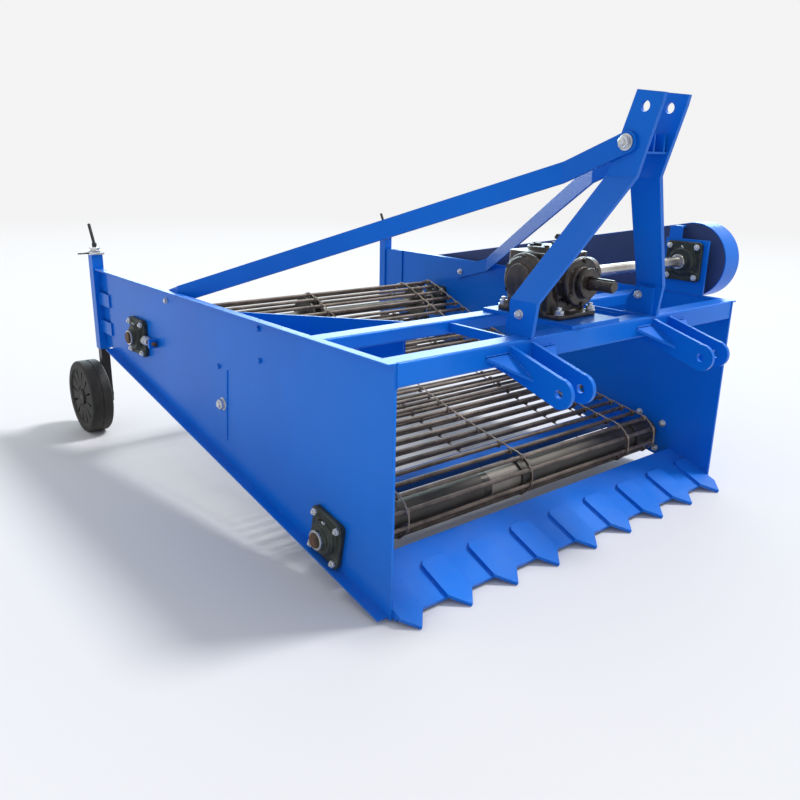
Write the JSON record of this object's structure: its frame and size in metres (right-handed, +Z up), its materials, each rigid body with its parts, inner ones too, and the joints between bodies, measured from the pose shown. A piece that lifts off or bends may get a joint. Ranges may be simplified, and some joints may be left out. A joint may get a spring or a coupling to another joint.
{
  "type": "potato digger",
  "caption": "Tractor-mounted chain potato digger: toothed share, rising rod web, A-frame hitch, side belt drive and height-adjustable rear wheels.",
  "frame": {"origin": "on the ground under the middle of the machine's outline", "axes": "+X across the machine towards the belt guard, -Y forwards in the direction of travel, +Z up"},
  "size_m": [1.678, 2.203, 1.258],
  "materials": {
    "blue_paint": "gloss enamel",
    "cast_iron": "dark painted casting",
    "greasy_casting": "oily black casting",
    "splined_steel": "oiled steel",
    "bright_steel": "turned steel",
    "rusty_steel": "rolled steel with light rust",
    "pulley_iron": "grey casting",
    "belt_rubber": "matt",
    "zinc": "zinc plated",
    "black_paint": "satin",
    "wheel_rubber": "satin solid rubber"
  },
  "bodies": {
    "frame": {"side_plate_right": "blue_paint", "side_plate_left": "blue_paint", "front_beam": "blue_paint", "second_beam": "blue_paint", "frame_rails": "blue_paint", "gearbox_plate": "blue_paint", "deflector_right": "blue_paint", "deflector_left": "blue_paint", "cross_angle": "blue_paint", "share_plate": "blue_paint", "share_teeth": "blue_paint", "hitch_lugs_right": "blue_paint", "hitch_lugs_left": "blue_paint", "mast_leg_right": "blue_paint", "mast_leg_left": "blue_paint", "mast_brackets": "blue_paint", "mast_spacer": "blue_paint", "mast_bolt": "zinc", "brace_right": "blue_paint", "brace_left": "blue_paint", "gearbox": "greasy_casting", "input_shaft": "splined_steel", "cross_shaft": "bright_steel", "bearing_plate": "blue_paint", "cross_shaft_bearing": "cast_iron", "belt_guard": "blue_paint", "small_pulley": "pulley_iron", "large_pulley": "pulley_iron", "drive_belts": "belt_rubber", "front_roller": "rusty_steel", "front_bearings": "cast_iron", "middle_axle": "rusty_steel", "web_shaft": "rusty_steel", "web_shaft_bearings": "cast_iron", "web": "rusty_steel", "tensioners": "zinc", "post_right": "blue_paint", "post_left": "blue_paint", "height_screw_right": "zinc", "height_screw_left": "zinc"},
    "leg_right": {"leg_right": "black_paint"},
    "wheel_right": {"wheel_right": "wheel_rubber"},
    "leg_left": {"leg_left": "black_paint"},
    "wheel_left": {"wheel_left": "wheel_rubber"}
  },
  "joints": [
    {"name": "height_right", "type": "slide", "parent": "frame", "child": "leg_right", "axis": [0, 0, 1], "range_m": [-0.08, 0.08]},
    {"name": "spin_right", "type": "hinge", "parent": "leg_right", "child": "wheel_right", "pos_m": [-0.794, 0.9565, 0.145], "axis": [1, 0, 0], "continuous": true},
    {"name": "height_left", "type": "slide", "parent": "frame", "child": "leg_left", "axis": [0, 0, 1], "range_m": [-0.08, 0.08]},
    {"name": "spin_left", "type": "hinge", "parent": "leg_left", "child": "wheel_left", "pos_m": [0.794, 0.9565, 0.145], "axis": [1, 0, 0], "continuous": true}
  ]
}
